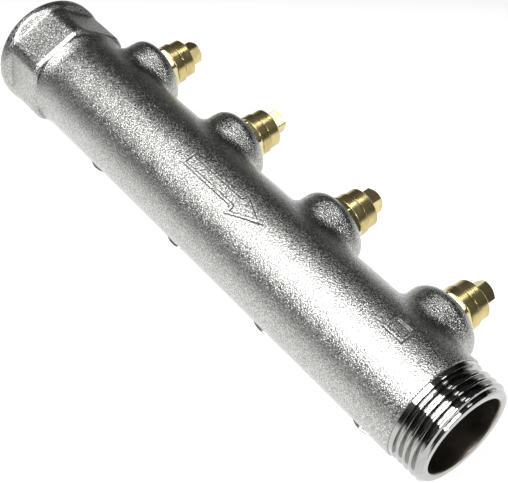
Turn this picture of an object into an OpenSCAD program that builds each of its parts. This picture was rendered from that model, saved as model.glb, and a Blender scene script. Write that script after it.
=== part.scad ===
// Four-way distribution manifold bar with a regulating valve on each outlet.
//
// Frame: +X along the bar towards the male-threaded end, +Y the way the valves
// point, +Z up. The origin is on the bar's axis, midway between the two middle
// valves, and the bar stands on its four outlets.

/* [Bar] */
// Distance from one valve to the next
valve_pitch = 46; // [42:1:60]
// Outside radius of the cast bar
bar_r = 17.1; // [16.9:0.1:18]
// Radius of the waterway through the bar
waterway_r = 13; // [12:0.1:13.2]
// How far the plain cast marks stand proud of the bar
mark_h = 0.7; // [0.2:0.1:0.8]

/* [Male end] */
// Where the cast skin stops and the turned land starts
male_land_x = 87.6; // [87:0.1:89]
// Where the thread starts, after its relief groove
male_thread_x = 90; // [89.8:0.1:91]
// End face of the male end
male_face_x = 99; // [97:0.1:110]
// Crest radius of the G1 thread
g1_crest_r = 16.62; // [16.5:0.01:16.65]
// Root radius of the G1 thread
g1_root_r = 15.145; // [15.1:0.005:15.3]

/* [Hexagon end] */
// End face of the female end
female_face_x = -104.2; // [-108:0.1:-103]
// Depth of the female thread
female_depth = 11.5; // [9:0.5:13]
// Radius of the round rim at the face
rim_r = 19.82; // [19.4:0.01:21]
// Distance across the flats of the hexagon
hex_af = 35.2; // [35:0.1:37]
// Radius that rounds off the hexagon's corners
hex_corner_r = 19.3; // [18.6:0.1:19.8]
// Turn of the hexagon about the bar, from +Y towards +Z
hex_turn = 19; // [0:1:60]

/* [Valve bosses] */
// Radius of the cast boss under each valve
boss_r = 12.35; // [11.6:0.05:12.5]
// Height of the boss face above the bar's axis
boss_y = 24.3; // [24.3:0.1:24.4]
// Radius of the rounded shoulder at the top of the boss
boss_shoulder_r = 4.3; // [2:0.1:4.5]
// Radius of the seat orifice
orifice_r = 4; // [3:0.1:4.2]
// Height of the valve seat above the bar's axis
seat_y = 14.6; // [14.6:0.1:14.7]

/* [Outlets] */
// Crest radius of the G3/8 outlet thread
outlet_r = 8.33; // [8.2:0.01:8.4]
// Radius of the outlet's bore
outlet_bore_r = 6; // [5.5:0.1:6.2]
// Distance of the outlet's end face below the bar's axis
outlet_drop = 27.3; // [27:0.1:34]

/* [Headwork] */
// Distance across the flats of the headwork's hexagon
headwork_af = 14; // [14:0.1:15]
// Side of the square on the end of the spindle
spindle_square = 6; // [5.5:0.1:6]
// Height of the spindle's end above the bar's axis
spindle_end_y = 39.4; // [38:0.1:44]
// Radial play of a turning or sliding fit
play = 0.05; // [0.03:0.01:0.06]
// Turn of each headwork's hexagon, from +X towards +Z
headwork_turn = [37, 32, 9, 54]; // [0:1:60]
// Turn of each spindle's square, from +X towards +Z
spindle_turn = [15, 71, 4, 47]; // [0:1:90]

/* [Hidden] */
$fn = 96;
VALVES = [1:4];
VALVE_PARTS = ["bonnet", "bonnet_seal", "gland", "thrust_washer", "spindle", "spindle_orings",
               "plug", "seat_washer", "washer_screw"];

// A cut runs this far past the face that it opens
past = 1;

// Radial gap in a screwed or pressed fit between two fixed pieces
snug = 0.02;

// Bar
bar_end_x = -81;               // the bar runs inside the hexagon's shoulder to here
land_r = 16.6;                 // turned land beside the male thread
relief_x = 89.2;               // start of the thread relief groove
relief_r = 15.1;               // bottom of the groove
lead_in = 1.3;                 // chamfer on the end of a G1 thread

// Hexagon end, as distances along the bar
rim_edge_r = 1;                // rounding of the rim's outer edge
rim_back_x = -101.7;           // back of the rim
rim_slope_x = -98;             // where the slope behind the rim meets a flat
shoulder_x = -86.5;            // back of the flats
female_bore_x = female_face_x + female_depth;

// Transfer passage from the valve chamber round to the outlet
passage_r = 2.5;               // radius of the cored passage
passage_bend_r = 17.9;         // radius of its centre line about the bar's axis
bulge_r = 4.4;                 // radius of the cast bulge around it
passage_from = -80;            // degrees about the bar, from +Y towards +Z
passage_to = -17;
outlet_boss_r = 9.6;           // cast boss above the outlet thread
outlet_face_z = -19.8;         // spot face around the outlet thread
outlet_lead_in = 0.8;          // chamfer on the end of the outlet thread
outlet_top_z = -15.6;          // closed end of the outlet's bore

// Valve chamber, as heights above the bar's axis
chamber_r = 6.3;
chamber_y = 13.9;
seat_ring_r = 4.9;
bonnet_y = 20.4;               // lower end of the bonnet's thread
bonnet_thread_r = 6.5;
seal_y = 23.2;                 // underside of the bonnet seal
seal_neck_r = 5.95;
seal_section_r = 0.5;
seal_recess_r = 6.95;

// Headwork, as heights above the bar's axis
hex_top_y = 26.5;
headwork_corner_r = 7.85;
collar_y = 26.62;              // the collar starts above a fine groove
collar_r = 7.05;
groove_r = 6.75;
neck_y = 30;                   // neck that carries the gland's thread
neck_r = 5.7;
neck_top_y = 33.1;
gland_y = 30.1;
gland_top_y = 34.4;
gland_r = 6.5;
gland_chamfer = 0.5;
socket_af = 9.2;               // hexagonal socket that keeps the plug from turning
socket_top_y = 27.6;

// Spindle
spindle_thread_r = 3.5;
spindle_tip_y = 21.2;
spindle_shaft_r = 4.4;
spindle_shaft_y = 27.7;
spindle_neck_r = 4.25;
flange_r = 4.85;
flange_y = 31.3;
flange_top_y = 32.5;
oring_groove_r = 3.3;
oring_groove_w = 1.2;
oring_section_r = 0.54;
oring_y = [28.6, 30.4];        // middles of the two O-ring grooves
square_chamfer = 0.7;

// Plug, drawn closed
plug_af = 9;
plug_y = 17.1;
plug_top_y = 25;
plug_disc_r = 5.6;
plug_bore_y = 18.6;
washer_y = seat_y + play;      // the closed washer stands this close to its seat
washer_top_y = washer_y + 1.5;
washer_r = 5.4;
screw_r = 1.5;
screw_head_r = 2.7;
screw_head_h = 1;
screw_slot_w = 0.6;
screw_slot_h = 0.5;

function valve_x(n) = (n - 2.5) * valve_pitch;
function corner_r(af) = af / sqrt(3);

// ---------------------------------------------------------------- helpers

// A cylinder along +X
module along_x(x0, x1, r0, r1 = undef) {
    translate([x0, 0, 0]) rotate([0, 90, 0])
        cylinder(h = x1 - x0, r1 = r0, r2 = is_undef(r1) ? r0 : r1);
}

// Turns a shape drawn on +Z so that it stands on a valve's +Y axis
module on_valve(n, turn = 0) {
    translate([valve_x(n), 0, 0]) rotate([-90, 0, 0]) rotate([0, 0, -turn]) children();
}

// A disc or cone between two heights
module disc(h0, h1, r0, r1 = undef) {
    translate([0, 0, h0]) cylinder(h = h1 - h0, r1 = r0, r2 = is_undef(r1) ? r0 : r1);
}

// A hexagonal prism between two heights, with a corner at angle 0
module hex_prism(h0, h1, af) {
    translate([0, 0, h0]) cylinder(h = h1 - h0, r = corner_r(af), $fn = 6);
}

// A ring of round section
module ring(h, r, section_r) {
    translate([0, 0, h]) rotate_extrude() translate([r, 0]) circle(r = section_r, $fn = 32);
}

// A round bar bent about the bar's axis, from angle a0 to a1
module bent_round(n, bend_r, r, a0, a1) {
    translate([valve_x(n), 0, 0]) rotate([90, 0, 90]) rotate([0, 0, a0])
        rotate_extrude(angle = a1 - a0) translate([bend_r, 0]) circle(r = r, $fn = 48);
}

// ------------------------------------------------------------ manifold body

// Half section of the cast boss, with its rounded shoulder
module boss_profile() {
    square([boss_r, boss_y - boss_shoulder_r]);
    square([boss_r - boss_shoulder_r, boss_y]);
    translate([boss_r - boss_shoulder_r, boss_y - boss_shoulder_r])
        intersection() {
            circle(r = boss_shoulder_r);
            square(boss_shoulder_r);
        }
}

// Half section of the round rim on the female end, from its face to the flats
module rim_profile() {
    rim_w = rim_back_x - female_face_x;
    slope_w = rim_slope_x - female_face_x;
    polygon([[0, 0], [rim_r - rim_edge_r, 0], [rim_r, rim_edge_r], [rim_r, rim_w],
             [hex_af / 2, slope_w], [0, slope_w]]);
    translate([rim_r - rim_edge_r, rim_edge_r]) circle(r = rim_edge_r, $fn = 32);
}

module hexagon_end() {
    translate([female_face_x, 0, 0]) rotate([0, 90, 0]) rotate_extrude() rim_profile();
    // Flats with rounded corners, then a cone down to the bar
    intersection() {
        translate([rim_back_x, 0, 0]) rotate([hex_turn, 0, 0]) rotate([90, 0, 90])
            cylinder(h = shoulder_x + 2 - rim_back_x, r = corner_r(hex_af), $fn = 6);
        union() {
            along_x(rim_back_x, shoulder_x, hex_corner_r);
            along_x(shoulder_x, shoulder_x + 2, hex_corner_r, bar_r + 1);
        }
    }
    along_x(shoulder_x, bar_end_x, hex_af / 2, bar_r);
}

module male_end() {
    along_x(male_land_x - past, relief_x, land_r);
    along_x(relief_x - past, male_thread_x, relief_r);
    along_x(male_thread_x, male_thread_x + 0.8, relief_r, g1_crest_r);
    along_x(male_thread_x + 0.8, male_face_x - lead_in, g1_crest_r);
    along_x(male_face_x - lead_in, male_face_x, g1_crest_r, g1_crest_r - lead_in);
}

module outlet(n) {
    translate([valve_x(n), 0, 0]) rotate([180, 0, 0]) {
        disc(bar_r - 6, -outlet_face_z, outlet_boss_r);
        disc(-outlet_face_z, outlet_drop - outlet_lead_in, outlet_r);
        disc(outlet_drop - outlet_lead_in, outlet_drop, outlet_r, outlet_r - outlet_lead_in);
    }
}

// Everything cored or machined out under one valve
module valve_passages(n) {
    on_valve(n) {
        disc(waterway_r - 3, seat_y + past, orifice_r);
        difference() {
            disc(chamber_y, bonnet_y, chamber_r);
            disc(chamber_y - past, seat_y, seat_ring_r);
        }
        disc(bonnet_y, seal_y, bonnet_thread_r);
        disc(seal_y, boss_y + past, seal_recess_r);
    }
    bent_round(n, passage_bend_r, passage_r, passage_from, passage_to);
    translate([valve_x(n), 0, 0]) rotate([180, 0, 0])
        disc(-outlet_top_z, outlet_drop + past, outlet_bore_r);
}

// Plain arrow between the middle valves, and a plain pad beside the last one
module cast_marks() {
    arrow_l = 34;
    arrow_w = 11;
    head_l = 13;
    shaft_w = 4.6;
    pad_l = 7;
    pad_w = 5.5;
    intersection() {
        along_x(-valve_pitch, male_land_x, bar_r + mark_h);
        union() {
            rotate([8, 0, 0]) linear_extrude(bar_r + 2)
                polygon([[-arrow_l / 2, -shaft_w / 2], [arrow_l / 2 - head_l, -shaft_w / 2],
                         [arrow_l / 2 - head_l, -arrow_w / 2], [arrow_l / 2, 0],
                         [arrow_l / 2 - head_l, arrow_w / 2], [arrow_l / 2 - head_l, shaft_w / 2],
                         [-arrow_l / 2, shaft_w / 2]]);
            translate([valve_x(4) + 2.2, 0, 0]) rotate([-6, 0, 0])
                translate([-pad_l / 2, -pad_w / 2, 0]) cube([pad_l, pad_w, bar_r + 2]);
        }
    }
}

module manifold_body() {
    color([0.72, 0.73, 0.71]) difference() {
        union() {
            along_x(shoulder_x, male_land_x, bar_r);
            hexagon_end();
            male_end();
            cast_marks();
            for (n = VALVES) {
                on_valve(n) rotate_extrude() boss_profile();
                outlet(n);
                intersection() {
                    bent_round(n, passage_bend_r, bulge_r, passage_from, passage_to);
                    translate([valve_x(n) - boss_r, -boss_r, outlet_face_z])
                        cube([2 * boss_r, 3 * boss_r, 2 * boss_r]);
                }
            }
        }
        along_x(female_face_x - past, male_face_x + past, waterway_r);
        along_x(female_face_x - past, female_bore_x, g1_root_r);
        along_x(female_face_x, female_face_x + lead_in, g1_root_r + lead_in, g1_root_r);
        for (n = VALVES) valve_passages(n);
    }
}

// ---------------------------------------------------------------- headwork

// Screwed-in brass housing: thread, hexagon, collar and the neck for the gland
module bonnet(n) {
    color([0.78, 0.68, 0.42]) on_valve(n, headwork_turn[n - 1]) difference() {
        union() {
            disc(bonnet_y, seal_y, bonnet_thread_r);
            disc(seal_y, boss_y, seal_neck_r);
            intersection() {
                hex_prism(boss_y, hex_top_y, headwork_af);
                union() {
                    disc(boss_y, hex_top_y - 0.4, headwork_corner_r);
                    disc(hex_top_y - 0.4, hex_top_y, headwork_corner_r, headwork_corner_r - 0.5);
                }
            }
            disc(hex_top_y, collar_y, groove_r);
            disc(collar_y, neck_y, collar_r);
            disc(neck_y, neck_top_y, neck_r);
        }
        hex_prism(bonnet_y - past, socket_top_y, socket_af);
        disc(socket_top_y - past, neck_top_y + past, spindle_shaft_r + play);
        disc(flange_y - play, neck_top_y + past, flange_r + play);
    }
}

// Rubber ring that seals the bonnet in its boss
module bonnet_seal(n) {
    color([0.1, 0.1, 0.1]) on_valve(n)
        ring(seal_y + seal_section_r, seal_neck_r + seal_section_r, seal_section_r);
}

// Cap screwed over the neck; it holds the spindle down
module gland(n) {
    color([0.80, 0.70, 0.44]) on_valve(n) difference() {
        union() {
            disc(gland_y, gland_top_y - gland_chamfer, gland_r);
            disc(gland_top_y - gland_chamfer, gland_top_y, gland_r, gland_r - gland_chamfer);
        }
        disc(gland_y - past, neck_top_y, neck_r + snug);
        disc(neck_top_y - past, gland_top_y + past, spindle_neck_r + play);
    }
}

// Slippery washer between the spindle's flange and the gland
module thrust_washer(n) {
    color([0.92, 0.92, 0.88]) on_valve(n) difference() {
        disc(flange_top_y + play, neck_top_y, flange_r + play);
        disc(flange_top_y - past, neck_top_y + past, spindle_neck_r + play);
    }
}

// Non-rising spindle: thread, sealed shaft, thrust flange and square end
module spindle(n) {
    corner = spindle_square / sqrt(2);
    color([0.76, 0.66, 0.42]) on_valve(n, spindle_turn[n - 1]) {
        difference() {
            union() {
                disc(spindle_tip_y, spindle_tip_y + 0.5, spindle_thread_r - 0.5, spindle_thread_r);
                disc(spindle_tip_y + 0.5, spindle_shaft_y, spindle_thread_r);
                disc(spindle_shaft_y, flange_y, spindle_shaft_r);
                disc(flange_y, flange_top_y, flange_r);
                disc(flange_top_y, gland_top_y, spindle_neck_r);
            }
            for (y = oring_y) difference() {
                disc(y - oring_groove_w / 2, y + oring_groove_w / 2, spindle_shaft_r + past);
                disc(y - oring_groove_w, y + oring_groove_w, oring_groove_r);
            }
        }
        intersection() {
            translate([-spindle_square / 2, -spindle_square / 2, gland_top_y])
                cube([spindle_square, spindle_square, spindle_end_y - gland_top_y]);
            union() {
                disc(gland_top_y, spindle_end_y - square_chamfer, corner - 0.05);
                disc(spindle_end_y - square_chamfer, spindle_end_y, corner - 0.05, corner - 1.25);
            }
        }
    }
}

// The two rubber rings that seal the spindle
module spindle_orings(n) {
    color([0.12, 0.12, 0.12]) on_valve(n)
        for (y = oring_y) ring(y, oring_groove_r + oring_section_r + 0.01, oring_section_r);
}

// ------------------------------------------------------------------- plug

// Plug that the spindle's thread lifts; its hexagon slides in the bonnet's socket
module plug(n) {
    color([0.74, 0.62, 0.36]) on_valve(n, headwork_turn[n - 1]) difference() {
        union() {
            disc(washer_top_y, plug_y, plug_disc_r);
            hex_prism(plug_y, plug_top_y, plug_af);
        }
        disc(plug_bore_y, plug_top_y + past, spindle_thread_r + play);
        disc(washer_top_y - past, plug_bore_y - 0.2, screw_r + snug);
    }
}

// Rubber washer that closes on the seat
module seat_washer(n) {
    color([0.14, 0.14, 0.14]) on_valve(n) difference() {
        disc(washer_y, washer_top_y, washer_r);
        disc(washer_y - past, washer_top_y + past, screw_r + snug);
    }
}

// Slotted screw that holds the washer on the plug
module washer_screw(n) {
    color([0.70, 0.70, 0.68]) on_valve(n) difference() {
        union() {
            disc(washer_y - screw_head_h, washer_y, screw_head_r);
            disc(washer_y, plug_bore_y - 0.3, screw_r);
        }
        translate([-screw_head_r - past, -screw_slot_w / 2, washer_y - screw_head_h - past])
            cube([2 * (screw_head_r + past), screw_slot_w, screw_slot_h + past]);
    }
}

// ------------------------------------------------------------------- parts

manifold_body();
for (n = VALVES) {
    bonnet(n);
    bonnet_seal(n);
    gland(n);
    thrust_washer(n);
    spindle(n);
    spindle_orings(n);
    plug(n);
    seat_washer(n);
    washer_screw(n);
}
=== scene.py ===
"""Looks for a four-way distribution manifold bar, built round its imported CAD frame."""

import math

import bmesh
import bpy
import numpy as np
import openvdb
from mathutils import Matrix, Vector


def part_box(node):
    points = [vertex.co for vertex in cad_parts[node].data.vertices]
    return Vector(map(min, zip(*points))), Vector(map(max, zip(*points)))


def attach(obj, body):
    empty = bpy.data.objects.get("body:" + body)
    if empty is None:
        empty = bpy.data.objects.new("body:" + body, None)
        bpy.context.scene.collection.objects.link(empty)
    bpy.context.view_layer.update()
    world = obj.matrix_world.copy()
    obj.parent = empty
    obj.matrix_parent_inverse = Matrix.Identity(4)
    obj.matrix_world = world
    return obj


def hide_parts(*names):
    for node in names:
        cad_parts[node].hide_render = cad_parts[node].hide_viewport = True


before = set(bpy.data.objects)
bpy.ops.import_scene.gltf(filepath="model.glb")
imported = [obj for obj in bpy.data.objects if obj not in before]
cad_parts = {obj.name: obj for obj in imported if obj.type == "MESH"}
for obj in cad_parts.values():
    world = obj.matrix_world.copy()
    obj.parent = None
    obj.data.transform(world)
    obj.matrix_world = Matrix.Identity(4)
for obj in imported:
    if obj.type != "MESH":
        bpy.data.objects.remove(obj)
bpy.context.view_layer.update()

MM = 0.001
ROOT = "manifold"
VALVES = (1, 2, 3, 4)
RNG_SEED = 11

# Sizes in millimetres, read off the frame where it holds them
VALVE_PITCH = 46.0
BAR_R = 17.1
WATERWAY_R = 13.0
BODY_LOW, BODY_HIGH = (tuple(c / MM for c in corner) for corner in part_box("manifold_body"))
FEMALE_FACE_X, MALE_FACE_X = BODY_LOW[0], BODY_HIGH[0]
OUTLET_FACE_Z, BOSS_Y = BODY_LOW[2], BODY_HIGH[1]
SPINDLE_END_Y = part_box("spindle_1")[1][1] / MM
HEADWORK_TURN = (37, 32, 9, 54)            # turn of each headwork hexagon, in degrees
SPINDLE_TURN = (15, 71, 4, 47)             # turn of each spindle square, in degrees


def valve_x(n):
    """Place of a valve along the bar."""
    return (n - 2.5) * VALVE_PITCH


# ------------------------------------------------------------------ meshes


def mesh_object(name, verts, faces, sharp_deg=35):
    """A smooth-shaded object from vertices in millimetres, with its hard edges kept hard."""
    mesh = bpy.data.meshes.new(name)
    mesh.from_pydata(np.asarray(verts, float) * MM, [], faces)
    mesh.validate()
    mesh.shade_smooth()
    if sharp_deg:
        mesh.set_sharp_from_angle(angle=math.radians(sharp_deg))
    obj = bpy.data.objects.new(name, mesh)
    bpy.context.scene.collection.objects.link(obj)
    return obj


def grid_faces(rows, columns, closed_rows):
    """Quads between neighbouring rows of a grid whose columns run round in a ring."""
    i, j = np.meshgrid(np.arange(rows if closed_rows else rows - 1), np.arange(columns), indexing="ij")
    a, b = i * columns + j, i * columns + (j + 1) % columns
    c, d = ((i + 1) % rows) * columns + (j + 1) % columns, ((i + 1) % rows) * columns + j
    return np.stack([a, b, c, d], -1).reshape(-1, 4)


def turned(name, rows, place, closed=True, columns=144, sharp_deg=35):
    """A body of revolution, or near it, from rows of (height, radius).

    A radius may be a function of the angle. closed joins the last row to the first,
    for a ring; otherwise both ends are capped.
    """
    angle = np.arange(columns) * (2 * math.pi / columns)
    points = []
    for height, radius in rows:
        r = radius(angle) if callable(radius) else np.full(columns, float(radius))
        level = np.full(columns, float(height))
        points.append(np.stack([r * np.cos(angle), r * np.sin(angle), level], 1))
    verts = np.concatenate(points)
    faces = [tuple(f) for f in grid_faces(len(rows), columns, closed)]
    if not closed:
        for row, middle in ((0, len(verts)), (len(rows) - 1, len(verts) + 1)):
            ring = [row * columns + k for k in range(columns)]
            pairs = zip(ring, ring[1:] + ring[:1])
            faces += [(b, a, middle) if row == 0 else (a, b, middle) for a, b in pairs]
        verts = np.concatenate([verts, [[0, 0, rows[0][0]], [0, 0, rows[-1][0]]]])
    if place.to_3x3().determinant() < 0:
        faces = [f[::-1] for f in faces]
    verts = verts @ np.array(place.to_3x3()).T + np.array(place.translation)
    return mesh_object(name, verts, faces, sharp_deg)


def outward(obj):
    """Makes every face of a closed object look out."""
    bm = bmesh.new()
    bm.from_mesh(obj.data)
    bmesh.ops.recalc_face_normals(bm, faces=bm.faces)
    bm.to_mesh(obj.data)
    bm.free()
    return obj


def rounded(points, radius):
    """A closed outline with each corner rounded off by a curve, as far as its sides allow."""
    curve_steps = 4
    pts = [Vector(p) for p in points]
    out = []
    for k, p in enumerate(pts):
        a, b = pts[k - 1] - p, pts[(k + 1) % len(pts)] - p
        turn = a.angle(b, math.pi)
        reach = min(radius / max(math.tan(turn / 2), 1e-6), a.length * 0.45, b.length * 0.45)
        if turn > math.radians(170) or reach < 1e-4:
            out.append(tuple(p))
            continue
        start, end = p + a.normalized() * reach, p + b.normalized() * reach
        for s in range(curve_steps + 1):
            t = s / curve_steps
            out.append(tuple((1 - t) ** 2 * start + 2 * t * (1 - t) * p + t * t * end))
    return out


def denser(points, step):
    """The same closed outline with points no further apart than step."""
    out = []
    for k, p in enumerate(points):
        q = points[(k + 1) % len(points)]
        n = max(1, math.ceil(math.dist(p, q) / step))
        out += [(p[0] + (q[0] - p[0]) * i / n, p[1] + (q[1] - p[1]) * i / n) for i in range(n)]
    return out


def polygon_radius(angle, apothem, sides, first_corner=0.0):
    """Radius of a regular polygon at an angle, from its apothem (half its width across flats)."""
    sector = 2 * math.pi / sides
    return apothem / np.cos((angle - first_corner) % sector - sector / 2)


def along_x(x=0.0):
    """Places a shape turned about Z so that it lies along +X."""
    return Matrix(((0, 0, 1, x), (1, 0, 0, 0), (0, 1, 0, 0), (0, 0, 0, 1)))


def on_valve(n, turn=0.0):
    """Places a shape turned about Z so that it stands on a valve's +Y axis."""
    lie = Matrix(((1, 0, 0, valve_x(n)), (0, 0, 1, 0), (0, -1, 0, 0), (0, 0, 0, 1)))
    return lie @ Matrix.Rotation(math.radians(-turn), 4, "Z")


def on_outlet(n):
    """Places a shape turned about Z so that it hangs from the bar along -Z."""
    return Matrix(((1, 0, 0, valve_x(n)), (0, -1, 0, 0), (0, 0, -1, 0), (0, 0, 0, 1)))


# --------------------------------------------------------- the cast body

CELL = 0.42        # size of the grid that the casting is drawn on
FINE_CELL = 0.6 * CELL                     # its step along the bar over the hexagon end
FINE_END_X = -78.0                         # where that finer step ends
MALE_LAND_X = 87.6                         # the cast skin stops here
HEX_APOTHEM = 17.6
HEX_TURN = math.radians(19)
HEX_CORNER_R, HEX_EDGE_R = 19.3, 0.4
RIM_R, RIM_EDGE_R = 19.82, 1.0
RIM_BLEND = 1.5                            # length over which the hexagon's corners grow out to the rim
RAMP_X, RAMP_SLOPE = -99.5, 1.15           # where a flat starts to rise to the rim, and its rise per mm
BEVEL_X, BEVEL_SLOPE = -85.3, 0.42         # where a flat starts to fall away, and its fall per mm
SHOULDER_X, SHOULDER_EDGE_R = -83.95, 0.12 # step from the flats down to the bar
FLARE_END_X, FLARE_H = -78.8, 0.8          # the bar swells a little towards that step
SEAM_W, SEAM_R = 0.36, 16.8                # groove cut between that step and the swell
BAR_EDGE_R = 0.35
FEMALE_BORE_R, FEMALE_DEPTH = 16.72, 11.5
BOSS_R, BOSS_SHOULDER_R, BOSS_FILLET = 12.35, 4.3, 2.0
# The transfer passage runs from each valve's chamber round to its outlet, under a bulge of the casting
BULGE_BEND_R, BULGE_R, BULGE_FILLET, PASSAGE_R = 17.9, 4.4, 2.0, 2.5
BULGE_FROM, BULGE_TO = math.radians(-80), math.radians(-17)
OUTLET_BOSS_R, OUTLET_EDGE_R, OUTLET_FILLET = 9.6, 0.7, 2.2
SPOT_FACE_Z, OUTLET_BORE_R, OUTLET_BORE_TOP_Z = -19.8, 6.0, -15.6
# A valve's hollow, from the waterway out: port, seat, chamber, bonnet thread, seal recess
PORT_R, PORT_Y, SEAT_Y, CHAMBER_R = 4.0, 9.0, 14.6, 6.3
BONNET_Y, BONNET_THREAD_R, SEAL_Y, SEAL_R = 20.4, 6.5, 23.2, 6.95
OVERLAP, FAR = 0.5, 200.0                  # how far a hollow runs into the next; well past the part


def round_union(a, b, radius):
    """Union of two distance fields with a fillet of that radius between them."""
    u = np.maximum(radius - a, 0)
    v = np.maximum(radius - b, 0)
    return np.maximum(radius, np.minimum(a, b)) - np.hypot(u, v)


def round_cut(a, b, radius):
    """What two distance fields share, with its edges rounded to that radius."""
    return -round_union(-a, -b, radius)


def capped(radial, along, low, high, edge=0.0):
    """A round solid of that radial distance between two planes, with rounded edges."""
    ends = np.maximum(low - along, along - high)
    return round_cut(radial, ends, edge) if edge else np.maximum(radial, ends)


def hexagon_field(x, y, z, r):
    """Distance to the hexagon end: flats that ramp up to the round rim, a bevel and the shoulder."""
    flats = np.full(np.broadcast(y, z).shape, -FAR)
    for k in range(6):
        a = HEX_TURN + math.pi / 6 + k * math.pi / 3
        flats = np.maximum(flats, y * math.cos(a) + z * math.sin(a) - HEX_APOTHEM)
    ramp = RAMP_SLOPE * np.maximum(RAMP_X - x, 0)
    flats = np.where(x < RAMP_X, (flats - ramp) / math.hypot(1, RAMP_SLOPE), flats)
    round_r = HEX_CORNER_R + (RIM_R - HEX_CORNER_R) * np.clip((RAMP_X - x) / RIM_BLEND, 0, 1)
    flats = round_cut(flats, r - round_r, HEX_EDGE_R)
    bevel = (flats + BEVEL_SLOPE * (x - BEVEL_X)) / math.hypot(1, BEVEL_SLOPE)
    block = capped(np.maximum(flats, bevel), x, FEMALE_FACE_X, SHOULDER_X, SHOULDER_EDGE_R)
    return capped(block, x, FEMALE_FACE_X, SHOULDER_X + 1, RIM_EDGE_R)


def bar_field(x, r):
    """Distance to the bar, which flares a little where it meets the hexagon's shoulder."""
    t = np.clip((FLARE_END_X - x) / (FLARE_END_X - SHOULDER_X), 0, 1)
    flare = np.maximum(r - BAR_R - FLARE_H * t ** 1.8, SHOULDER_X - x)
    return np.minimum(capped(r - BAR_R, x, BEVEL_X, MALE_LAND_X, BAR_EDGE_R),
                      np.maximum(flare, x - MALE_LAND_X + 1))


def casting_field(x, y, z):
    """Signed distance, in millimetres, to the whole cast body with its cored and machined hollows."""
    r = np.hypot(y, z)
    body = np.minimum(bar_field(x, r), hexagon_field(x, y, z, r))
    body = np.maximum(body, -capped(SEAM_R - r, x, SHOULDER_X, SHOULDER_X + SEAM_W))
    about = np.clip(np.arctan2(z, y), BULGE_FROM, BULGE_TO)
    bulge_side = np.hypot(y - BULGE_BEND_R * np.cos(about), z - BULGE_BEND_R * np.sin(about))
    hollow = capped(r - WATERWAY_R, x, -FAR, FAR)
    hollow = np.minimum(hollow, capped(r - FEMALE_BORE_R, x, -FAR, FEMALE_FACE_X + FEMALE_DEPTH))
    for n in VALVES:
        along = x - valve_x(n)
        valve_r, outlet_r, bulge_r = (np.hypot(along, across) for across in (z, y, bulge_side))
        boss = capped(valve_r - BOSS_R, y, 0, BOSS_Y, BOSS_SHOULDER_R)
        outlet = capped(outlet_r - OUTLET_BOSS_R, z, SPOT_FACE_Z, 0, OUTLET_EDGE_R)
        body = round_union(body, boss, BOSS_FILLET)
        body = round_union(body, bulge_r - BULGE_R, BULGE_FILLET)
        body = round_union(body, outlet, OUTLET_FILLET)
        body = np.where(np.abs(along) < 2 * BOSS_R, np.maximum(body, SPOT_FACE_Z - z), body)
        for part in (
            capped(valve_r - PORT_R, y, PORT_Y, SEAT_Y + OVERLAP),
            capped(valve_r - CHAMBER_R, y, SEAT_Y, BONNET_Y + OVERLAP),
            capped(valve_r - BONNET_THREAD_R, y, BONNET_Y, SEAL_Y + OVERLAP),
            capped(valve_r - SEAL_R, y, SEAL_Y, FAR),
            capped(outlet_r - OUTLET_BORE_R, z, -FAR, OUTLET_BORE_TOP_Z),
            bulge_r - PASSAGE_R,
        ):
            hollow = np.minimum(hollow, part)
    return np.maximum(body, -hollow)


def wave_noise(points, wavelengths, count, seed):
    """A smooth random field of unit strength: many plane waves of random direction."""
    rng = np.random.default_rng(seed)
    way = rng.normal(size=(count, 3))
    way /= np.linalg.norm(way, axis=1)[:, None]
    way *= (2 * math.pi / rng.uniform(*wavelengths, count))[:, None]
    phase = rng.uniform(0, 2 * math.pi, count)
    total = np.zeros(len(points))
    for k in range(count):
        total += np.sin(points @ way[k] + phase[k])
    return total * math.sqrt(2 / count)


def field_normals(points):
    """Unit normals of the casting's distance field at these points."""
    step = 0.05
    grad = np.empty_like(points)
    for axis in range(3):
        shift = np.zeros(3)
        shift[axis] = step
        ahead, behind = (points + shift).T, (points - shift).T
        grad[:, axis] = casting_field(*ahead) - casting_field(*behind)
    return grad / np.maximum(np.linalg.norm(grad, axis=1), 1e-9)[:, None]


def casting_points():
    """Vertices and faces of the cast body, taken off its distance field."""
    margin, band = 2 * CELL, 3 * CELL
    bulge_depth = 2.5                      # how far the bulges reach past the rim's radius
    xs = np.concatenate([np.arange(FEMALE_FACE_X - margin, FINE_END_X, FINE_CELL),
                         np.arange(FINE_END_X, MALE_LAND_X + margin, CELL)])
    ys = np.arange(-RIM_R - margin, BOSS_Y + margin, CELL)
    zs = np.arange(-RIM_R - bulge_depth - margin, RIM_R + margin, CELL)
    field = np.empty((len(xs), len(ys), len(zs)), np.float32)
    for i, x in enumerate(xs):
        field[i] = casting_field(x, ys[:, None], zs[None, :])
    grid = openvdb.FloatGrid(band)
    grid.copyFromArray(np.clip(field, -band, band))
    verts, quads = grid.convertToQuads(isovalue=0.0)
    lines = zip(np.asarray(verts).T, (xs, ys, zs))
    places = [np.interp(v, np.arange(len(line)), line) for v, line in lines]
    return np.stack(places, 1), np.asarray(quads)


def cast_skin(verts):
    """How much of the sand's relief each vertex has: none in the hollows or on machined faces."""
    x, y, z = verts.T
    inner_wall = 2.2
    skin = (np.hypot(y, z) > WATERWAY_R + inner_wall).astype(float)
    for inside, fade in (
        (MALE_LAND_X - 0.2 - x, 1.0),
        (x - FEMALE_FACE_X - 0.8, 1.5),
        (z - SPOT_FACE_Z - 0.1, 0.8),
        (BOSS_Y - 0.05 - y, 0.6),
    ):
        skin *= np.clip(inside / fade, 0, 1)
    return skin


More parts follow.
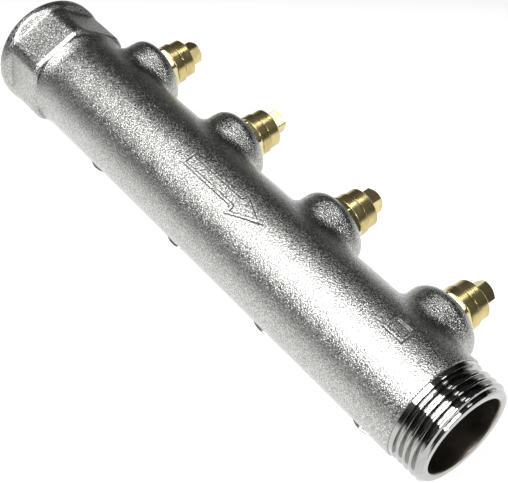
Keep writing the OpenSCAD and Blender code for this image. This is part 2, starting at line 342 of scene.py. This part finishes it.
def cast_body():
    """The sand casting, with its pebbled skin as real relief."""
    verts, quads = casting_points()
    farthest_pull = 0.3
    for _ in range(3):                     # the grid's vertices are pulled onto the exact surface
        normals = field_normals(verts)
        verts -= normals * np.clip(casting_field(*verts.T), -farthest_pull, farthest_pull)[:, None]
    normals = field_normals(verts)
    pebbles = wave_noise(verts, (0.75, 1.15), 80, RNG_SEED)
    lumps = wave_noise(verts, (7, 16), 24, RNG_SEED + 1)
    relief = (0.003 * pebbles + 0.012 * lumps - 0.015) * cast_skin(verts)
    obj = mesh_object("cast_body", verts + normals * relief[:, None], [tuple(q) for q in quads], 0)
    return outward(obj)


# ------------------------------------------------------------- cast marks


def mark_field(u, v, outline):
    """Distance in the plane to a polygon's edge, negative inside it."""
    best = np.full(u.shape, FAR)
    inside = np.zeros(u.shape, bool)
    for (ax, ay), (bx, by) in zip(outline, outline[1:] + outline[:1]):
        ex, ey = bx - ax, by - ay
        t = np.clip(((u - ax) * ex + (v - ay) * ey) / (ex * ex + ey * ey), 0, 1)
        best = np.minimum(best, np.hypot(u - ax - t * ex, v - ay - t * ey))
        crosses = ((ay > v) != (by > v)) & (u < ex * (v - ay) / (ey if ey else 1e-9) + ax)
        inside ^= crosses
    return np.where(inside, -best, best)


def soft_step(distance):
    """1 inside an edge and 0 outside it, with a smooth slope 0.3 mm wide across it."""
    t = np.clip(0.5 - distance / 0.3, 0, 1)
    return t * t * (3 - 2 * t)


def raised_mark(name, outline, x, angle_deg, *, height, border, sunk, step):
    """A plain raised shape on the bar: a border that stands proud, and a middle sunk below it."""
    margin, skirt, underside_r = 0.8, 0.35, BAR_R - 1.2
    reach_u = max(abs(p[0]) for p in outline) + margin
    reach_v = max(abs(p[1]) for p in outline) + margin
    us, vs = np.arange(-reach_u, reach_u, step), np.arange(-reach_v, reach_v, step)
    u, v = np.meshgrid(us, vs, indexing="ij")
    d = mark_field(u, v, outline)
    top = BAR_R - skirt + (height + skirt) * soft_step(d) - sunk * soft_step(d + border)
    around = math.radians(angle_deg) + v / BAR_R
    sheets = []
    for radius in (top, np.full(top.shape, underside_r)):
        sheet = np.stack([x + u, radius * np.cos(around), radius * np.sin(around)], -1)
        sheets.append(sheet.reshape(-1, 3))
    nu, nv = u.shape
    index = np.arange(nu * nv).reshape(nu, nv)
    quads = [(index[i, j], index[i + 1, j], index[i + 1, j + 1], index[i, j + 1])
             for i in range(nu - 1) for j in range(nv - 1)]
    under = [tuple(k + nu * nv for k in q[::-1]) for q in quads]
    edge = np.concatenate([index[:, 0], index[-1, 1:], index[-2::-1, -1], index[0, -2:0:-1]])
    walls = [(a, a + nu * nv, b + nu * nv, b) for a, b in zip(edge, np.roll(edge, -1))]
    faces = [tuple(int(k) for k in f) for f in quads + under + walls]
    return outward(mesh_object(name, np.concatenate(sheets), faces, 0))


def arrow_outline(length, width, head, shaft):
    """An arrow that points to +X, middle on the origin."""
    half, w, s = length / 2, width / 2, shaft / 2
    return [(-half, -s), (half - head, -s), (half - head, -w), (half, 0), (half - head, w),
            (half - head, s), (-half, s)]


def chevron_outline(size, thick):
    """A chevron that points to +X."""
    back = -size - thick
    return [(-size, size), (0, 0), (-size, -size), (back, -size), (-thick, 0), (back, size)]


def cast_marks():
    """Plain marks: an arrow for the way the water runs, a pad and a chevron."""
    pad = [(-3.6, -2.9), (3.6, -2.9), (3.6, 2.9), (-3.6, 2.9)]
    arrow = arrow_outline(length=36, width=10.5, head=12.5, shaft=5)
    return [
        raised_mark("flow_arrow", arrow, 2.5, 99, height=0.7, border=1.1, sunk=0.6, step=0.11),
        raised_mark("blank_pad", pad, valve_x(4) + 2.2, 84, height=0.7, border=1.0, sunk=0.5, step=0.12),
        raised_mark("small_chevron", chevron_outline(size=2.6, thick=1.3), valve_x(1) + 1.5, 95,
                    height=0.5, border=0.5, sunk=0.0, step=0.12),
    ]


# ---------------------------------------------------------- turned ends

G1 = dict(crest=16.62, root=15.145, pitch=2.309)
G38 = dict(crest=8.33, root=7.475, pitch=1.337)


def steps(low, high, step):
    """Evenly spaced heights from low to high, no further apart than step."""
    n = max(1, math.ceil(abs(high - low) / step))
    return [low + (high - low) * k / n for k in range(n + 1)]


def thread_radius(height, angle, crest, root, pitch, start=0.0):
    """Radius of a right-hand thread at a height and angle, with rounded crests and roots."""
    root_share, flank_share, roundness = 0.16, 0.62, 0.45
    turns = ((height - start) / pitch - angle / (2 * math.pi)) % 1.0
    tooth = 1 - 2 * np.abs(turns - 0.5)
    tooth = np.clip((tooth - root_share) / flank_share, 0, 1)
    tooth = tooth * tooth * (3 - 2 * tooth) * roundness + tooth * (1 - roundness)
    return root + (crest - root) * tooth


def threaded(height, size, low, high, chamfer, start=0.0):
    """A row of an outside thread: it runs out at low, and is cut by a chamfer at high."""
    run_out = 0.6

    def radius(angle):
        r = thread_radius(height, angle, **size, start=start)
        base = size["root"] + 0.02
        r = base + (r - base) * np.clip((height - low) / run_out, 0, 1)
        return np.minimum(r, size["crest"] - chamfer + max(0.0, high - height))
    return radius


def male_end():
    """The turned land, the relief groove, the G1 thread and the ring-shaped face."""
    land_r, groove_r, land_x, groove_x, thread_x = 16.6, 15.1, MALE_LAND_X, 89.15, 89.95
    chamfer = 1.3
    rows = [(land_x - 1.5, WATERWAY_R + 1.5), (land_x - 1.5, land_r)]
    rows += [(h, land_r) for h in steps(land_x - 1.4, groove_x - 0.14, 0.2)]
    rows += [(groove_x - 0.08, land_r - 0.02), (groove_x - 0.03, land_r - 0.09),
             (groove_x, land_r - 0.2), (groove_x + 0.08, groove_r + 0.15),
             (groove_x + 0.25, groove_r), (thread_x - 0.1, groove_r)]
    rows += [(h, threaded(h, G1, thread_x, MALE_FACE_X, chamfer, start=0.75))
             for h in steps(thread_x, MALE_FACE_X - 0.06, 0.1)]
    face_r = G1["crest"] - chamfer
    rows += [(MALE_FACE_X, face_r - 0.1), (MALE_FACE_X, face_r - 0.6), (MALE_FACE_X, WATERWAY_R + 0.45),
             (MALE_FACE_X - 0.08, WATERWAY_R + 0.25), (MALE_FACE_X - 0.4, WATERWAY_R)]
    rows += [(h, WATERWAY_R) for h in steps(MALE_FACE_X - 0.8, land_x - 0.05, 1.5)]
    return outward(turned("male_end", rows, along_x(), columns=240, sharp_deg=50))


def female_end():
    """The turned ring inside the hexagon end, with its inside G1 thread."""
    depth, outer_r = FEMALE_DEPTH - 0.1, 18.3
    thread_end = depth - 1.5

    def inside_thread(height):
        def radius(angle):
            r = G1["crest"] + G1["root"] - thread_radius(height, angle, **G1)
            return np.maximum(r, G1["crest"] + 0.2 - height)
        return radius

    rows = [(0.0, outer_r), (0.0, G1["crest"] + 0.25)]
    rows += [(h, inside_thread(h)) for h in steps(0.1, thread_end - 0.1, 0.12)]
    rows += [(thread_end, G1["crest"]), (depth, G1["crest"]), (depth + 0.1, FEMALE_BORE_R),
             (0.6, FEMALE_BORE_R + 0.04), (0.4, outer_r)]
    return outward(turned("female_end", rows, along_x(FEMALE_FACE_X), columns=192, sharp_deg=50))


def outlet_end(n):
    """A turned G3/8 outlet below the bar."""
    face, top, chamfer = -OUTLET_FACE_Z, -SPOT_FACE_Z, 0.8
    bore_r = OUTLET_BORE_R + 0.02
    rows = [(top - 1.2, bore_r), (top - 1.2, 8.2), (top + 0.1, 7.6), (top + 0.5, 7.5)]
    rows += [(h, threaded(h, G38, top + 0.5, face, chamfer))
             for h in steps(top + 0.6, face - 0.05, 0.09)]
    edge = G38["crest"] - chamfer
    rows += [(face, edge - 0.1), (face, OUTLET_BORE_R + 0.3), (face - 0.25, bore_r)]
    return outward(turned(f"outlet_end_{n}", rows, on_outlet(n), sharp_deg=50))


# ------------------------------------------------------------- headwork

HEADWORK_HEX_TOP_Y = 26.5


def bonnet(n):
    """Brass housing: hexagon with turned corners, groove, collar and neck, and its socket inside."""
    hex_top, collar_y, neck_y, neck_top = HEADWORK_HEX_TOP_Y, 26.72, 29.98, 33.1
    apothem, corner_r, groove_r, collar_r, neck_r = 7.0, 7.85, 6.45, 7.05, 5.7
    socket_apothem, socket_top, seal_land_r = 4.6, 27.6, 5.97
    shaft_r, counter_r, counter_y = 4.45, 4.9, 31.25

    def hexagon(height):
        down = 0.5 * max(0.0, height - (hex_top - 0.55)) + 0.9 * max(0.0, height - (hex_top - 0.12))
        up = 0.8 * max(0.0, BOSS_Y + 0.22 - height)

        def radius(angle):
            return np.minimum(polygon_radius(angle, apothem, 6) - 0.3 * up, corner_r - down - up)
        return radius

    def socket(angle):
        return polygon_radius(angle, socket_apothem, 6)

    rows = [(BONNET_Y, socket), (BONNET_Y, BONNET_THREAD_R - 0.3), (BONNET_Y + 0.3, BONNET_THREAD_R),
            (SEAL_Y, BONNET_THREAD_R), (SEAL_Y, seal_land_r), (BOSS_Y + 0.02, seal_land_r)]
    rows += [(h, hexagon(h)) for h in steps(BOSS_Y + 0.02, hex_top, 0.07)]
    rows += [(hex_top + 0.02, groove_r), (collar_y - 0.12, groove_r)]
    rows += [(collar_y - 0.04, collar_r - 0.14), (collar_y + 0.06, collar_r - 0.03),
             (collar_y + 0.15, collar_r)]
    rows += [(h, collar_r) for h in steps(collar_y + 0.5, neck_y - 0.3, 0.4)]
    rows += [(neck_y - 0.14, collar_r - 0.02), (neck_y - 0.05, collar_r - 0.1), (neck_y, collar_r - 0.25),
             (neck_y, neck_r), (neck_top - 0.3, neck_r), (neck_top, neck_r - 0.3),
             (neck_top, counter_r), (counter_y, counter_r), (counter_y, shaft_r),
             (socket_top, shaft_r), (socket_top, socket)]
    return outward(turned(f"bonnet_shell_{n}", rows, on_valve(n, HEADWORK_TURN[n - 1])))


def gland(n):
    """Cap over the neck, with a turned chamfer round its top."""
    low, top, r, wall_y, hole, inside_r = 30.28, 34.4, 6.5, 33.12, 4.32, 5.72
    outline = [(low, inside_r), (low, r), (top - 0.55, r), (top, r - 0.6), (top, hole), (wall_y, hole),
               (wall_y, inside_r)]
    rows = denser(rounded(outline, 0.12), 0.5)
    return outward(turned(f"gland_cap_{n}", rows, on_valve(n)))


def spindle(n):
    """Spindle: thread, shaft with two ring grooves, flange, neck and the square end."""
    tip, shaft_y, flange_y, flange_top, neck_top = 21.2, 27.7, 31.3, 32.5, 34.35
    tip_r, relief_r, shaft_r, ring_groove_r, flange_r, neck_r = 2.6, 3.0, 4.4, 3.3, 4.85, 4.25
    square_apothem = 3.0
    corner_r = square_apothem * math.sqrt(2) - 0.2
    lead = dict(crest=3.5, root=3.0, pitch=1.0)

    def left_hand_thread(height):
        return lambda angle: np.minimum(thread_radius(height, -angle, **lead), tip_r + height - tip)

    def square(height):
        left = SPINDLE_END_Y - height
        down = 1.75 * max(0.0, 0.7 - left) + 1.2 * max(0.0, 0.12 - left)

        def radius(angle):
            return np.minimum(polygon_radius(angle, square_apothem, 4, math.pi / 4), corner_r - down)
        return radius

    rows = [(tip, tip_r)]
    rows += [(h, left_hand_thread(h)) for h in steps(tip + 0.05, shaft_y - 0.8, 0.1)]
    rows += [(shaft_y - 0.7, relief_r), (shaft_y, relief_r),
             (shaft_y, shaft_r - 0.1), (shaft_y + 0.1, shaft_r)]
    for middle in (28.6, 30.4):
        rows += [(middle - 0.6, shaft_r), (middle - 0.6, ring_groove_r),
                 (middle + 0.6, ring_groove_r), (middle + 0.6, shaft_r)]
    rows += [(flange_y, shaft_r), (flange_y, flange_r), (flange_top, flange_r), (flange_top, neck_r),
             (neck_top, neck_r), (neck_top + 0.01, square(neck_top))]
    rows += [(h, square(h)) for h in steps(neck_top + 0.4, SPINDLE_END_Y - 0.8, 0.5)]
    rows += [(h, square(h)) for h in steps(SPINDLE_END_Y - 0.7, SPINDLE_END_Y, 0.06)]
    rows += [(SPINDLE_END_Y, 0.5)]
    place = on_valve(n, SPINDLE_TURN[n - 1])
    return outward(turned(f"spindle_stem_{n}", rows, place, closed=False))


# ------------------------------------------------------------ materials


def material(name, colour, metallic=1.0, roughness=0.3):
    """A new material and the pieces of its node tree that the makers below work on."""
    mat = bpy.data.materials.new(name)
    mat.use_nodes = True
    tree = mat.node_tree
    shader = tree.nodes["Principled BSDF"]
    shader.inputs["Base Color"].default_value = (*colour, 1)
    shader.inputs["Metallic"].default_value = metallic
    shader.inputs["Roughness"].default_value = roughness
    return mat, tree, shader


def add(tree, kind, links=None, **values):
    """A node of that kind. links feeds its sockets, and values sets its properties or else its inputs."""
    node = tree.nodes.new(kind)
    for key, value in values.items():
        if hasattr(node, key):
            setattr(node, key, value)
        else:
            node.inputs[key.replace("_", " ")].default_value = value
    for socket, source in (links or {}).items():
        tree.links.new(source, node.inputs[socket])
    return node


def ramp(tree, source, stops):
    """A colour ramp of (place, colour or grey) stops."""
    node = add(tree, "ShaderNodeValToRGB", {"Fac": source})
    elements = node.color_ramp.elements
    while len(elements) < len(stops):
        elements.new(0.5)
    for element, (place, colour) in zip(elements, stops):
        element.position = place
        element.color = (*colour, 1) if isinstance(colour, tuple) else (colour, colour, colour, 1)
    return node.outputs["Color"]


def graded(tree, source, low, high, at_low, at_high, **kind):
    """A value that goes from at_low to at_high while its source goes from low to high."""
    node = add(tree, "ShaderNodeMapRange", {"Value": source}, From_Min=low, From_Max=high,
               To_Min=at_low, To_Max=at_high, **kind)
    return node.outputs["Result"]


def cast_nickel(name):
    """Nickel plate over a sand casting: pebbled, with painted shade darkening the hollows between the
    grains.
    """
    mat, tree, shader = material(name, (0.66, 0.66, 0.64))
    place = add(tree, "ShaderNodeTexCoord").outputs["Object"]
    grain = add(tree, "ShaderNodeTexNoise", {"Vector": place}, Scale=2500.0, Detail=2.5, Roughness=0.55)
    fine = add(tree, "ShaderNodeTexNoise", {"Vector": place}, Scale=5000.0, Detail=1.0)
    cells = add(tree, "ShaderNodeTexVoronoi", {"Vector": place}, Scale=2300.0, Randomness=1.0)
    pebbles = add(tree, "ShaderNodeMath", {0: grain.outputs["Fac"], 1: cells.outputs["Distance"]},
                  operation="SUBTRACT")
    grit = add(tree, "ShaderNodeMath", {0: fine.outputs["Fac"]}, operation="MULTIPLY")
    grit.inputs[1].default_value = 0.3
    height = add(tree, "ShaderNodeMath", {0: pebbles.outputs[0], 1: grit.outputs[0]}, operation="ADD")
    bump = add(tree, "ShaderNodeBump", {"Height": height.outputs[0]}, Strength=1.0, Distance=0.00009)
    tree.links.new(bump.outputs["Normal"], shader.inputs["Normal"])
    # painted shade: the base colour goes darker in the low hollows of the pebbled bump
    hollow_shade = ramp(tree, height.outputs[0], [(0.0, (0.30, 0.30, 0.28)), (0.35, (0.54, 0.54, 0.53)),
                                          (0.7, (0.66, 0.66, 0.64))])
    tree.links.new(hollow_shade, shader.inputs["Base Color"])
    rough = ramp(tree, grain.outputs["Fac"], [(0.3, 0.33), (0.7, 0.2)])
    tree.links.new(rough, shader.inputs["Roughness"])
    return mat


def turned_metal(name, colour, axis, roughness, metallic=1.0, ring_mm=0.16, depth=0.000004, stain=0.12):
    """Lathe-turned metal: fine rings about an axis, a faint stain and a little wear."""
    mat, tree, shader = material(name, colour, metallic, roughness)
    place = add(tree, "ShaderNodeTexCoord").outputs["Object"]
    stretch = [9.0, 9.0, 9.0]
    stretch["XYZ".index(axis)] = 1000.0 / ring_mm
    rings_place = add(tree, "ShaderNodeVectorMath", {0: place}, operation="MULTIPLY")
    rings_place.inputs[1].default_value = stretch
    rings = add(tree, "ShaderNodeTexNoise", {"Vector": rings_place.outputs[0]}, Scale=1.0, Detail=2.0)
    bump = add(tree, "ShaderNodeBump", {"Height": rings.outputs["Fac"]}, Strength=1.0, Distance=depth)
    tree.links.new(bump.outputs["Normal"], shader.inputs["Normal"])
    blot = add(tree, "ShaderNodeTexNoise", {"Vector": place}, Scale=260.0, Detail=4.0)
    stained = tuple(c * (1 - stain) for c in colour)
    tint = ramp(tree, blot.outputs["Fac"], [(0.35, stained), (0.6, colour)])
    tree.links.new(tint, shader.inputs["Base Color"])
    worn = ramp(tree, blot.outputs["Fac"], [(0.3, roughness * 1.35), (0.7, roughness * 0.85)])
    tree.links.new(worn, shader.inputs["Roughness"])
    return mat


def soft_plain(name, colour, roughness):
    """Rubber or plastic with a faint moulded grain, also used for the near-black painted shade on the
    cast marks' walls.
    """
    mat, tree, shader = material(name, colour, 0.0, roughness)
    place = add(tree, "ShaderNodeTexCoord").outputs["Object"]
    noise = add(tree, "ShaderNodeTexNoise", {"Vector": place}, Scale=900.0, Detail=3.0)
    bump = add(tree, "ShaderNodeBump", {"Height": noise.outputs["Fac"]}, Strength=0.4, Distance=0.00003)
    tree.links.new(bump.outputs["Normal"], shader.inputs["Normal"])
    tint = ramp(tree, noise.outputs["Fac"], [(0.3, tuple(0.8 * c for c in colour)), (0.7, colour)])
    tree.links.new(tint, shader.inputs["Base Color"])
    return mat


def dress(obj, mat):
    """Gives the whole object one material."""
    obj.data.materials.clear()
    obj.data.materials.append(mat)


def face_centres(obj):
    """Centres and normals of an object's faces, in millimetres."""
    count = len(obj.data.polygons)
    centre, normal = np.empty(3 * count), np.empty(3 * count)
    obj.data.polygons.foreach_get("center", centre)
    obj.data.polygons.foreach_get("normal", normal)
    return centre.reshape(-1, 3) / MM, normal.reshape(-1, 3)


def outward_tilt(centre, normal):
    """How far each face looks away from the bar's axis: 1 straight out, -1 straight in."""
    across = centre[:, 1:]
    return (across * normal[:, 1:]).sum(1) / np.linalg.norm(across, axis=1)


def dress_faces(obj, mat, chosen):
    """Gives the chosen faces of an object a second material."""
    obj.data.materials.append(mat)
    slot = len(obj.data.materials) - 1
    obj.data.polygons.foreach_set("material_index", chosen.astype(np.int32) * slot)


def dress_bore(obj, largest_r):
    """Gives the faces that look in on the bar's axis a dark metal: painted shade inside the bore."""
    centre, normal = face_centres(obj)
    r = np.hypot(centre[:, 1], centre[:, 2])
    dress_faces(obj, BORE_SHADE, (outward_tilt(centre, normal) < -0.5) & (r < largest_r))


# ---------------------------------------------------------------- stage


def camera():
    """The camera, at the height, side and lens of the reference view."""
    right = Vector((0.6172, 0.7849, -0.0540)).normalized()
    forward = Vector((-0.5128, 0.3493, -0.7843))
    forward = (forward - right * forward.dot(right)).normalized()
    up = right.cross(forward)
    data = bpy.data.cameras.new("camera")
    data.sensor_width = 36
    data.lens = 77.27
    data.shift_x, data.shift_y = 0.0487, 0.0497
    data.clip_start = 0.01
    data.clip_end = 20
    obj = bpy.data.objects.new("camera", data)
    turn = Matrix((right, up, -forward)).transposed()
    obj.matrix_world = Matrix.Translation(Vector((179.99, -124.34, 253.0)) * MM) @ turn.to_4x4()
    bpy.context.scene.collection.objects.link(obj)
    bpy.context.scene.camera = obj


def area_light(name, place, aim, size, power):
    """A soft box at a place, facing another, with its width and height in metres."""
    data = bpy.data.lights.new(name, "AREA")
    data.shape = "RECTANGLE"
    data.size, data.size_y = size
    data.energy = power
    obj = bpy.data.objects.new(name, data)
    obj.location = place
    obj.rotation_euler = (Vector(aim) - Vector(place)).to_track_quat("-Z", "Y").to_euler()
    bpy.context.scene.collection.objects.link(obj)


def floor():
    """A pale floor that glows round the part and fades out beyond and in front of it."""
    half = 2500.0
    corners = [(sx * half, sy * half, OUTLET_FACE_Z) for sx, sy in ((-1, -1), (1, -1), (1, 1), (-1, 1))]
    plane = mesh_object("floor", corners, [(0, 1, 2, 3)], 0)
    mat, tree, shader = material("floor_white", (0.3, 0.3, 0.3), 0.0, 0.7)
    place = add(tree, "ShaderNodeTexCoord").outputs["Object"]
    beyond = add(tree, "ShaderNodeVectorMath", {0: place}, operation="DOT_PRODUCT")
    beyond.inputs[1].default_value = (-0.742, 0.67, 0.0)
    front = add(tree, "ShaderNodeSeparateXYZ", {"Vector": place}).outputs["Y"]
    smooth = dict(interpolation_type="SMOOTHSTEP")
    far_fade = graded(tree, beyond.outputs["Value"], 0.065, 0.225, 0.82, 0.05, **smooth)
    near_fade = graded(tree, front, -0.3, -0.11, 0.25, 1.0, **smooth)
    glow = add(tree, "ShaderNodeMath", {0: far_fade, 1: near_fade}, operation="MULTIPLY")
    tree.links.new(glow.outputs[0], shader.inputs["Emission Color"])
    shader.inputs["Emission Strength"].default_value = 1.0
    dress(plane, mat)


def room():
    """A dim room round the part: grey at the horizon, darker behind the valves."""
    world = bpy.data.worlds.new("room")
    world.use_nodes = True
    tree = world.node_tree
    place = add(tree, "ShaderNodeTexCoord").outputs["Generated"]
    way = add(tree, "ShaderNodeSeparateXYZ", {"Vector": place})
    sky = ramp(tree, way.outputs["Z"], [(0.0, 0.16), (0.06, 0.08), (0.15, 0.035), (0.35, 0.04),
                                        (0.6, 0.14), (1.0, 0.14)])
    side = graded(tree, way.outputs["Y"], -0.5, 0.5, 1.0, 0.3)
    tree.links.new(sky, tree.nodes["Background"].inputs["Color"])
    tree.links.new(side, tree.nodes["Background"].inputs["Strength"])
    bpy.context.scene.world = world


def stage():
    """The floor, three soft boxes and the room."""
    floor()
    area_light("soft_box", (-0.09, -0.35, 0.8), (-0.09, -0.35, 0), (0.52, 0.76), 14.0)
    area_light("top_box", (-0.06, 0.42, 0.8), (-0.06, 0.42, 0), (0.24, 0.18), 0.75)
    area_light("side_box", (0.75, -0.14, 0.70), (-0.1, 0, 0), (0.26, 0.24), 5.0)
    room()
    bpy.context.scene.view_settings.view_transform = "Standard"


# --------------------------------------------------------------- the part

camera()
stage()

NICKEL_CAST = cast_nickel("cast_nickel")
NICKEL_TURNED = turned_metal("turned_nickel", (0.40, 0.405, 0.39), "X", 0.07)
NICKEL_OUTLET = turned_metal("turned_nickel_outlet", (0.40, 0.405, 0.39), "Z", 0.07)
BRASS = turned_metal("turned_brass", (0.58, 0.475, 0.22), "Y", 0.24, metallic=0.965,
                     ring_mm=0.3, depth=0.00003, stain=0.2)
BRASS_MILLED = turned_metal("milled_brass", (0.72, 0.64, 0.38), "Y", 0.2, metallic=0.97,
                            ring_mm=0.5, depth=0.00001, stain=0.15)
BRASS_SPINDLE = turned_metal("spindle_brass", (0.62, 0.52, 0.26), "Y", 0.22, metallic=0.96,
                             ring_mm=0.4, depth=0.00001, stain=0.25)
# painted shade: this dark brownish metal stands for the shade inside the waterway and the sockets
BORE_SHADE = turned_metal("bore_painted_shade", (0.25, 0.22, 0.18), "X", 0.32, ring_mm=0.5, depth=0.00005, stain=0.35)
# painted shade: a near-black material on the side walls of the cast marks, for the shade along their
# edges
MARK_WALL_SHADE = soft_plain("mark_wall_painted_shade", (0.07, 0.07, 0.065), 0.6)
RUBBER = soft_plain("black_rubber", (0.03, 0.03, 0.032), 0.55)
PTFE = soft_plain("white_washer", (0.86, 0.86, 0.82), 0.4)
STEEL = turned_metal("screw_steel", (0.62, 0.62, 0.6), "Y", 0.25)


def build_body():
    """The nickel-plated casting with its turned ends, its outlets and its cast marks."""
    casting, male, female = cast_body(), male_end(), female_end()
    outlets, marks = [outlet_end(n) for n in VALVES], cast_marks()
    for piece, mat in (
        (casting, NICKEL_CAST),
        (male, NICKEL_TURNED),
        (female, NICKEL_TURNED),
        *((outlet, NICKEL_OUTLET) for outlet in outlets),
        *((mark, NICKEL_CAST) for mark in marks),
    ):
        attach(piece, ROOT)
        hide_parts("manifold_body")
        dress(piece, mat)
    # painted shade on the faces inside the bores
    dress_bore(casting, FEMALE_BORE_R + 0.5)
    dress_bore(male, WATERWAY_R + 0.2)
    # painted shade on the side walls of each cast mark
    for mark in marks:
        dress_faces(mark, MARK_WALL_SHADE, outward_tilt(*face_centres(mark)) < 0.8)


def build_valve(n):
    """A valve's headwork, and materials for the pieces inside it."""
    shell = bonnet(n)
    for piece, node, body, slot, mat in (
        (shell, f"bonnet_{n}", ROOT, "brass", BRASS),
        (gland(n), f"gland_{n}", ROOT, "brass", BRASS),
        (spindle(n), f"spindle_{n}", f"spindle_{n}", "spindle_brass", BRASS_SPINDLE),
    ):
        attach(piece, body)
        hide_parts(node)
        dress(piece, mat)
    centre, normal = face_centres(shell)
    on_hexagon = (centre[:, 1] < HEADWORK_HEX_TOP_Y) & (np.abs(normal[:, 1]) < 0.6)
    dress_faces(shell, BRASS_MILLED, on_hexagon)
    for node, mat in (("bonnet_seal", RUBBER), ("spindle_orings", RUBBER), ("seat_washer", RUBBER),
                      ("thrust_washer", PTFE), ("plug", BRASS), ("washer_screw", STEEL)):
        dress(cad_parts[f"{node}_{n}"], mat)


build_body()
for n in VALVES:
    build_valve(n)
